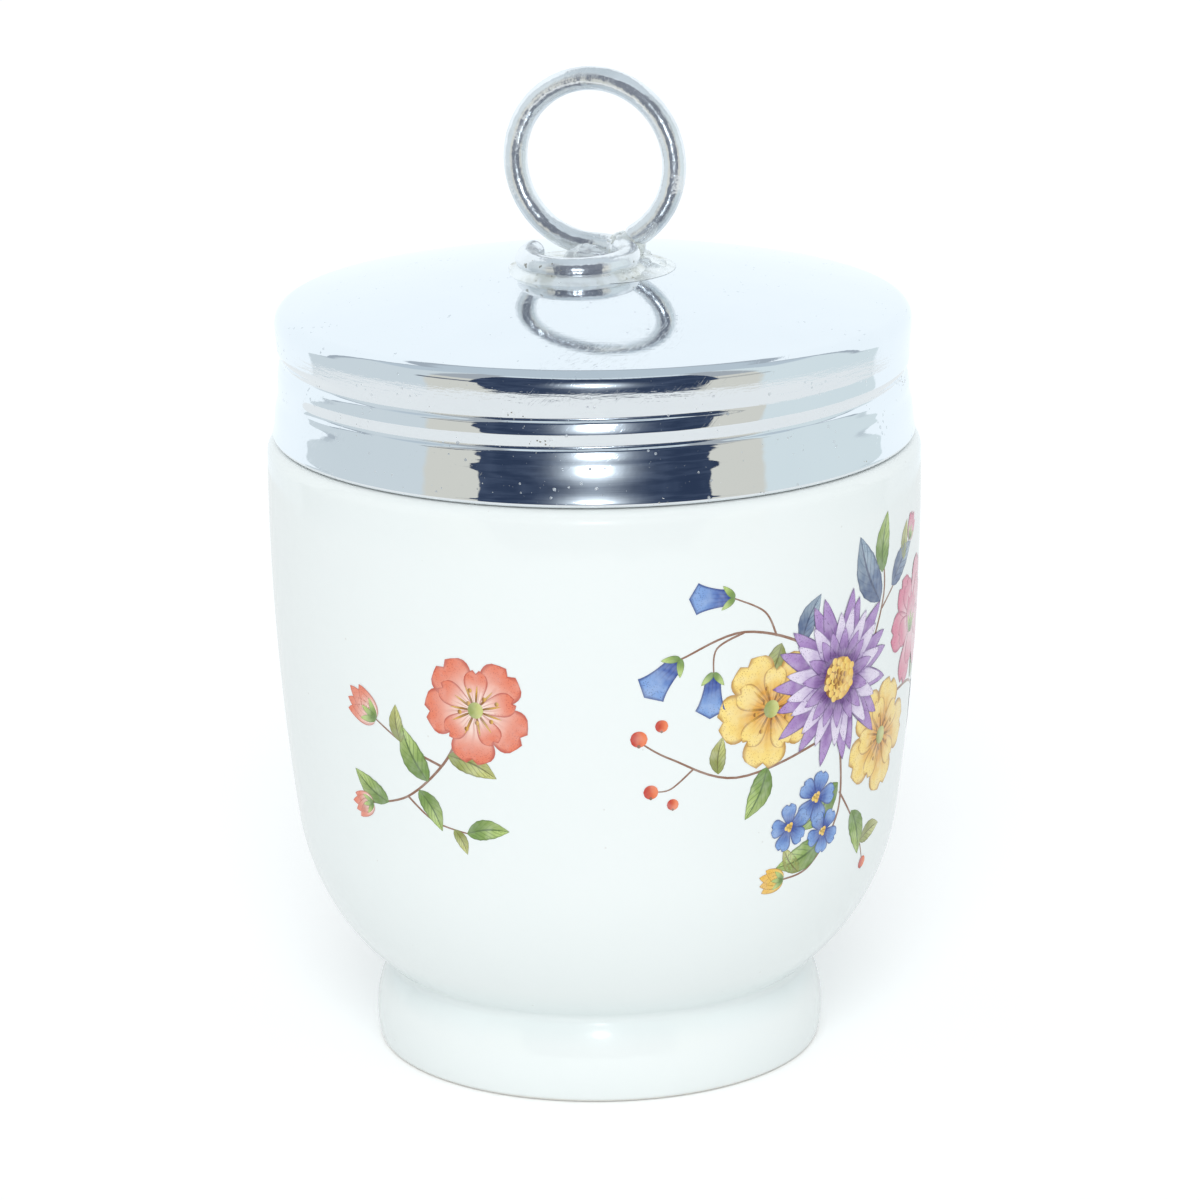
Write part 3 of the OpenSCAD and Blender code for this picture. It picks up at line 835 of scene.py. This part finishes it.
# %% Small spray
small = Drawing(4)
small.stem((-8.6, 45.5), (-12.5, 41.5), (-15.5, 36.5), (-20.0, 32.5), (-25.0, 30.9), wide=0.34)
small.stem((-15.8, 36.2), (-19.6, 37.6), (-23.6, 39.8))
small.stem((-20.0, 32.5), (-17.0, 30.4), (-13.2, 29.6), wide=0.24)
small.leaves(GREEN, (-17.4, 34.4, 118, 6.0), (-18.6, 33.4, -58, 4.6), (-22.6, 31.4, 150, 5.2), (-13.4, 29.6, 8, 4.6))
small.leaves(OLIVE, (-15.0, 37.4, -20, 5.4), (-20.4, 37.9, 96, 3.8), (-14.8, 29.9, -62, 2.8))
small.open_flower(-11.8, 42.3, 5.4, CORAL, OCHRE, 3, 14)
small.bud(-23.4, 39.7, 150, 4.4, CORAL)
small.bud(-24.8, 30.9, 196, 3.2, CORAL)
print("small spray:", len(small.marks), "strokes,", len(small.stems), "stems")

# %% Large spray
large = Drawing(11)
large.stem((29.0, 40.0), (22.5, 46.5), (14.5, 49.5), (8.0, 47.5), wide=0.34)
large.stem((14.5, 49.5), (11.6, 48.2), (11.3, 45.6), wide=0.24)
large.stem((18.0, 48.6), (16.6, 51.2), (13.2, 53.0), wide=0.24)
large.stem((24.0, 37.0), (14.0, 35.0), (7.2, 37.6), (4.2, 39.4), wide=0.28)
large.stem((9.4, 36.4), (7.2, 34.6), (5.6, 34.4), wide=0.2)
large.stem((27.0, 36.0), (27.6, 29.0), (24.0, 24.2), (20.2, 23.4), wide=0.32)
large.stem((27.5, 31.0), (31.5, 26.0), (33.5, 22.6), wide=0.24)
large.stem((30.0, 42.0), (33.5, 49.5), (32.6, 55.0), wide=0.34)
large.stem((33.2, 48.2), (37.6, 51.4), (40.0, 53.6), wide=0.24)
large.stem((32.0, 38.0), (42.0, 38.5), (51.0, 35.5), (59.5, 37.5), wide=0.34)
large.stem((46.0, 37.6), (51.0, 42.2), (56.0, 43.6), wide=0.26)
large.stem((50.0, 35.8), (54.0, 31.4), (57.6, 29.8), wide=0.24)
large.leaves(SLATE, (32.8, 49.0, 118, 8.2), (35.2, 50.0, 30, 6.2), (46.5, 37.4, -66, 7.4), (21.0, 47.4, 62, 5.0))
large.leaves(GREEN, (33.0, 51.8, 80, 6.0), (25.6, 26.6, 196, 6.6), (27.2, 32.0, 214, 6.8), (30.0, 28.4, -66, 5.6),
             (44.0, 38.2, 58, 8.0), (52.6, 42.8, 84, 5.4), (17.4, 35.6, 246, 5.6), (56.0, 36.2, -40, 5.6))
large.leaves(OLIVE, (18.6, 47.8, -118, 5.2), (22.4, 23.8, 128, 3.8), (32.4, 24.6, 10, 4.4), (12.0, 35.6, 84, 3.8),
             (52.4, 33.0, -98, 4.6), (38.2, 51.8, 76, 4.0), (48.8, 36.4, 18, 5.6))
large.open_flower(17.6, 41.4, 5.9, CREAM, OCHRE, 3, 8)
large.open_flower(34.6, 35.0, 6.0, CREAM, OCHRE, 3, 30)
large.aster(26.2, 42.8, 8.3, 9, 5)
for bx, by, size, tilt in ((24.0, 31.2, 2.7, 0), (20.6, 28.8, 2.4, 30), (25.4, 27.4, 2.3, 50), (53.8, 36.4, 2.7, 10),
                           (57.2, 39.4, 2.3, 40)):
    large.around(PETAL, bx, by, 5, 0, size, size * 1.1, 5, BLUE, tilt, 4)
    large.dots(bx, by, 5, size * 0.16, size * 0.2, 6, GOLD)
large.around(PETAL, 42.0, 44.8, 6, 0, 6.4, 5.6, 4, BLUSH, 10, 6)
large.around(PETAL, 42.0, 45.2, 5, 0, 4.5, 4.2, 5, BLUSH, 46, 6)
large.bud(41.6, 43.6, 82, 4.6, BLUSH, 6)
large.bellflower(8.0, 47.6, 226, 4.6)
large.bellflower(11.3, 45.9, 266, 4.2)
large.bellflower(13.4, 53.0, 176, 4.2)
large.bud(40.0, 53.4, 60, 3.0, BLUSH)
large.bud(59.2, 37.4, 20, 3.0, BLUSH)
large.bud(20.4, 23.4, 176, 3.2, GOLD)
large.berries((4.0, 39.8, 1.7), (6.2, 41.0, 1.3), (5.2, 34.4, 1.5), (7.4, 33.0, 1.2), (56.4, 43.9, 1.6),
              (58.0, 29.6, 1.5), (33.8, 22.0, 1.4), (55.6, 46.0, 1.2))
print("large spray:", len(large.marks), "strokes,", len(large.stems), "stems")

# %% Tree that wraps a drawing round the pot
arcs = {"Roll radius": 32.0, "Side radius": side_r, "Side centre r": side_c[0], "Side centre z": side_c[1],
        "Bowl radius": bowl_r, "Bowl centre r": bowl_c[0], "Bowl centre z": bowl_c[1], "Bowl top": bowl_top,
        "Lift": 0.012}
wrap = Tree("Wrapped drawing", *arcs, Strokes="Collection", Stems="Object")
brush = wrap.node("GeometryNodeCollectionInfo", wrap["Strokes"], True, True)
spin = wrap.node("FunctionNodeEulerToRotation", wrap.xyz(0.0, 0.0, wrap.field("turn")))
marks = wrap.node("GeometryNodeInstanceOnPoints", wrap["Geometry"], None, brush, True,
                  wrap.field("stroke", "INT"), spin, wrap.field("size", "FLOAT_VECTOR"))
marks = wrap.node("GeometryNodeRealizeInstances", marks)
nib = wrap.node("GeometryNodeCurvePrimitiveLine", (-0.0005, 0, 0), (0.0005, 0, 0))
ribbon = wrap.node("GeometryNodeCurveToMesh", wrap.node("GeometryNodeObjectInfo", wrap["Stems"], out="Geometry"),
                   nib, wrap.node("GeometryNodeInputRadius"))
ribbon = wrap.keep(ribbon, "place", (0.5, 0.0, 9.0), "FLOAT_VECTOR")
for name, colour in zip(("root", "tip", "line"), BROWN):
    ribbon = wrap.keep(ribbon, name, colour, "FLOAT_COLOR")
both = wrap.node("GeometryNodeJoinGeometry", ribbon)
wrap.tree.links.new(marks.socket, both.socket.node.inputs[0])
fx, fy, fz = wrap.split(wrap.node("GeometryNodeInputPosition"))


def circle_r(part):
    """How far out the arc of the side or the bowl lies at the height fy."""
    d, r = fy - wrap[part + " centre z"], wrap[part + " radius"]
    return wrap.math("SQRT", r * r - d * d) + wrap[part + " centre r"]


above = wrap.math("GREATER_THAN", fy, wrap["Bowl top"])
out = above * circle_r("Side") + (1.0 - above) * circle_r("Bowl") + wrap["Lift"] + fz
a = fx / wrap["Roll radius"]
round_pot = wrap.xyz(wrap.math("SINE", a) * out, wrap.math("COSINE", a) * (out * -1.0), fy)
wrap.finish(wrap.node("GeometryNodeSetPosition", both, None, round_pot), near=0)
print("nodes in the wrapping tree:", len(wrap.tree.nodes))

# %% [markdown]
# ## Enamel
# Fired enamel is a little raised and as shiny as the glaze. Old printing plates shaded with lines and dots, not
# with smooth tones. So each stroke runs from its root colour to its tip colour, and over that come fine lines
# along the stroke, dots near its edge, veins where it is a leaf, and a darker outline.

# %% Enamel material
enamel, w = material("enamel")
here, *_ = object_place(w)
u, v, kind = w.split(w.attribute("place", "Vector"))
side = w.math("ABSOLUTE", v)
is_leaf = w.math("COMPARE", kind, float(LEAF), 0.2)
is_dot = w.math("COMPARE", kind, float(DOT), 0.2)
is_stem = w.math("COMPARE", kind, 9.0, 0.2)
drawn = 1.0 - w.most(is_stem, is_dot)
grain = w.noise(here, 900.0, 2.0)
body = w.blend(w.fade(u + (grain - 0.5) * 0.35, 0.15, 0.85), w.attribute("root", "Color"), w.attribute("tip", "Color"))
hatch = w.math("SINE", v * 15.0 + grain * 4.0)
hatch = w.fade(hatch, 0.1, 0.9) * (w.fade(u, 0.0, 0.75, 0.9, 0.0) * (1.0 - is_leaf))
rib = w.fade(side, 0.13, 0.05)
veins = w.fade(w.math("PINGPONG", u * 7.0 - side * 2.2, 0.5), 0.16, 0.06)
veins = w.most(rib, veins * 0.6) * is_leaf
half = w.fade(v, -0.1, 0.1) * is_leaf * 0.35
edge = w.most(w.fade(side, 0.78, 0.97), w.fade(u, 0.92, 1.0))
stipple = w.fade(w.cells(here, 5200.0), 0.36, 0.24)
stipple *= w.fade(w.most(side, u), 0.5, 0.95)
ink = w.most(hatch * 0.75, w.most(veins, w.most(edge * 0.8, half)))
ink = w.most(ink, stipple * 0.55) * drawn
body = w.blend(ink, body, w.attribute("line", "Color"))
fired = w.blend(w.fade(grain, 0.35, 0.75, 0.0, 0.14), body, (0.87, 0.90, 0.89, 1))
ridge = relief(w, ink * 0.4 + grain, 0.12, 4e-5)
surface_of(w, Base_Color=fired, Roughness=w.fade(grain, 0.3, 0.8, 0.08, 0.18), IOR=1.52, Normal=ridge)
print("enamel has", len(enamel.node_tree.nodes), "nodes")


# %% Wrap both drawings
layer_t = 0.006


def printed(name, drawing):
    kinds, xs, ys, turns, longs, wides, layers, roots, tips, inks = zip(*drawing.marks)
    marks = new_mesh(name + "_marks", [(x * mm, y * mm, k * layer_t * mm) for x, y, k in zip(xs, ys, layers)])
    store(marks, "stroke", "INT", kinds)
    store(marks, "turn", "FLOAT", turns)
    store(marks, "size", "FLOAT_VECTOR", [(a * mm, b * mm, 1.0) for a, b in zip(longs, wides)])
    for label, colours in (("root", roots), ("tip", tips), ("line", inks)):
        store(marks, label, "FLOAT_COLOR", colours)
    curves = bpy.data.curves.new(name + "_stems", "CURVE")
    curves.dimensions = "3D"
    for line, wide in drawing.stems:
        spline = curves.splines.new("POLY")
        spline.points.add(len(line) - 1)
        taper = np.linspace(1.0, 0.55, len(line)) * wide
        for point, (px, py), r in zip(spline.points, line, taper):
            point.co, point.radius = (px * mm, py * mm, 0.0, 1.0), r
    curves.twist_mode = "Z_UP"
    return grow(name, wrap, marks, Strokes=strokes, Stems=bpy.data.objects.new(name + "_stems", curves),
                Material=enamel, **{label: size * mm for label, size in arcs.items()})


small_print = printed("print_small", small)
large_print = printed("print_large", large)

# %% [markdown]
# ## Joining the moving parts
# Each piece rides on the body of the CAD model that it belongs to. The pot and its print stand still, the cap,
# the ring and the solder turn together, and the round pad between them rises with the thread.

# %% Bodies and stand-ins
for thing, body_name, slot_name in ((pot, "pot", "porcelain"), (small_print, "pot", "porcelain"),
                                    (large_print, "pot", "porcelain"), (cap, "lid", "plated_sheet"),
                                    (ring, "lid", "plated_wire"), (bead, "lid", "solder"),
                                    *((blob, "lid", "solder") for blob in blobs), (pad, "lift", "solder")):
    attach(thing, body_name)
for thing, node_name in ((pot, "pot"), (cap, "lid_shell"), (ring, "ring_handle"), (pad, "solder_pad")):
    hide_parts(node_name)
    shown = np.array([v.co for v in thing.data.vertices])
    low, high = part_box(node_name)
    print(node_name, "differs from its CAD box by up to",
          round(max(np.abs(shown.min(0) - low).max(), np.abs(shown.max(0) - high).max()) / mm, 3), "mm")

# %% [markdown]
# ## The table and the room
# The photograph was taken on a white sheet with a flash. A mirror shows its room, so the room is what gives the
# cap its bands: white paper at the back, grey and cream walls at the sides, and a dark doorway behind the camera.
# Here that room is a drum of plain light that only reflections can see. Its colours are set by two numbers, the
# bearing from the camera in degrees and the height: the walls first, a dark line and bars on them, a pale strip
# and a grey ceiling above, then the paper with its dark edge, and last the dark opening with rounded corners. The
# flash is a small bright spot in it. The pot itself is lit by the sky and one broad lamp above the camera.


# %% Stage
def plain_mesh(name, points, faces, look):
    thing = put(name, new_mesh(name, points, faces))
    thing.data.materials.append(look)
    thing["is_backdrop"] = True
    return thing


paper, w = material("white_table")
seen, glossy, through = (w.node("ShaderNodeLightPath", out=f"Is {kind} Ray")
                         for kind in ("Camera", "Glossy", "Transmission"))
mirrored = w.most(glossy, through)
sheet = w.blend(seen, (0.95, 0.96, 0.96, 1), (1.0, 1.0, 1.0, 1))
surface_of(w, Base_Color=sheet, Roughness=1.0, Emission_Color=(0.96, 1.0, 1.0, 1),
           Emission_Strength=seen * 0.1 + mirrored * 0.02, Specular_IOR_Level=0.0)
plain_mesh("table", [(-4, -4, 0), (4, -4, 0), (4, 4, 0), (-4, 4, 0)], [(0, 1, 2, 3)], paper)

drum_r, drum_h, drum_sides = 0.24, 0.6, 120
door_mid, door_half = 0.185, 0.184
flash_z, flash_r, glow_across, glow_up = 0.113, 0.014, 0.040, 0.058
room, w = material("reflected_room")
_, x, y, z = object_place(w)
bearing_deg = w.math("ABSOLUTE", w.math("ARCTAN2", x, y * -1.0)) * (180 / math.pi)
side = w.blend(w.fade(x, -0.05, 0.05), (0.68, 0.76, 0.80, 1), (0.74, 0.84, 0.87, 1))
light = w.blend(w.fade(bearing_deg, 57.0, 59.5), (0.72, 0.72, 0.66, 1), side)
light = w.blend(w.fade(z, 0.17, 0.19) * w.fade(bearing_deg, 62.0, 58.0), light, (0.42, 0.46, 0.5, 1))
strip = w.fade(z, 0.36, 0.37) * w.fade(bearing_deg, 46.0, 42.0)
light = w.blend(strip, light, (0.74, 0.84, 0.91, 1))
overhead = w.fade(z + w.fade(bearing_deg, 60.0, 75.0) * 0.2, 0.44, 0.48)
light = w.blend(overhead, light, (0.54, 0.63, 0.70, 1))
paper_from = w.fade(z, 0.03, 0.09, 117.0, 103.0)
paper_top = w.fade(bearing_deg, 108.0, 175.0, 0.42, 0.335)
paper_in = w.least((bearing_deg - paper_from) / 4.0, (paper_top - z) / 0.07)
light = w.blend(w.fade(paper_in, -1.5, -0.6) * w.fade(z, 0.05, 0.1), light, (0.42, 0.48, 0.54, 1))
light = w.blend(w.fade(paper_in, -0.15, 0.1), light, (0.99, 1.07, 1.12, 1))
bar = w.fade(z, 0.108, 0.113) * w.fade(z, 0.14, 0.132) * w.fade(bearing_deg, 63.0, 60.5)
bar *= w.fade(x, 0.0, 0.01, 0.95, 0.45)
light = w.blend(bar, light, (0.16, 0.18, 0.22, 1))
door_x = w.math("POWER", bearing_deg / w.fade(z, 0.09, 0.108, 38.5, 42.0), 9.0)
door_z = w.math("POWER", w.math("ABSOLUTE", (z - door_mid) / door_half), 9.0)
door = w.fade(door_x + door_z, 1.07, 0.93)
shapes = w.noise(w.xyz(bearing_deg * 0.09, z * 40.0, x * 4.0), 1.0, 3.0)
inside = w.blend(w.fade(shapes, 0.35, 0.7), (0.030, 0.048, 0.095, 1), (0.062, 0.088, 0.150, 1))
light = w.blend(door, light, inside)
front = w.fade(y, -0.01, -0.05)
fz = z - flash_z
xx, zz = x * x, fz * fz
spot = w.math("EXPONENT", (xx + zz) * (-1 / flash_r**2))
halo = w.math("EXPONENT", xx * (-1 / glow_across**2) + zz * (-1 / glow_up**2))
glow = (spot * 14.0 + halo * 1.5) * front
lit = w.node("ShaderNodeEmission", light, 1.0)
flash = w.node("ShaderNodeEmission", (0.86, 0.95, 1.0, 1), glow)
w.node("ShaderNodeOutputMaterial", w.node("ShaderNodeAddShader", lit, flash))
n = drum_sides
turns = [(math.sin(a), -math.cos(a)) for a in np.linspace(0, math.tau, n + 1)[:-1]]
wall = [(drum_r * c, drum_r * s, h) for h in (0.0005, drum_h) for c, s in turns]
drum = plain_mesh("room", wall, [(k, (k + 1) % n, n + (k + 1) % n, n + k) for k in range(n)]
                  + [tuple(range(n, 2 * n))], room)
for kind_of_ray in ("camera", "diffuse", "transmission", "shadow", "volume_scatter"):
    setattr(drum, "visible_" + kind_of_ray, False)

sky = bpy.data.worlds.new("sky")
scene.world = sky
sky.use_nodes = True
sky.node_tree.nodes["Background"].inputs["Color"].default_value = (0.95, 0.985, 1.0, 1)
sky.node_tree.nodes["Background"].inputs["Strength"].default_value = 0.77


# %% Lamp
lamp = put("broad_lamp", bpy.data.lights.new("broad_lamp", "SUN"))
lamp.data.energy = 0.98
lamp.data.angle = math.radians(24)
lamp.rotation_euler = (math.radians(51), 0, math.radians(-2))
lamp.visible_glossy = False

# %% [markdown]
# ## The camera
# The pot was photographed from half a metre away, 16 degrees above level, with a long lens. These numbers came
# from fitting circles to the rim of the cap, the foot and the outline.

# %% Camera
camera = put("camera", bpy.data.cameras.new("camera"))
scene.camera = camera
camera.matrix_world = (Matrix.Translation((0, -0.5223, 0.19)) @ Matrix.Rotation(math.radians(74.46), 4, "X")
                       @ Matrix.Rotation(-0.0098, 4, "Z"))
camera.data.lens = 164.1
camera.data.sensor_width = 36.0
camera.data.shift_x = 0.0036
camera.data.clip_start = 0.01
scene.view_settings.view_transform = "Standard"

# %% [markdown]
# ## Last look at the size
# The box that the finished pieces fill is printed in millimetres. The finished object has to stay inside the
# box of the CAD parts.

# %% Box of the finished pieces
low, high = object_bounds()
print("visual box in mm:", [round(v / mm, 2) for v in (*low, *high)])
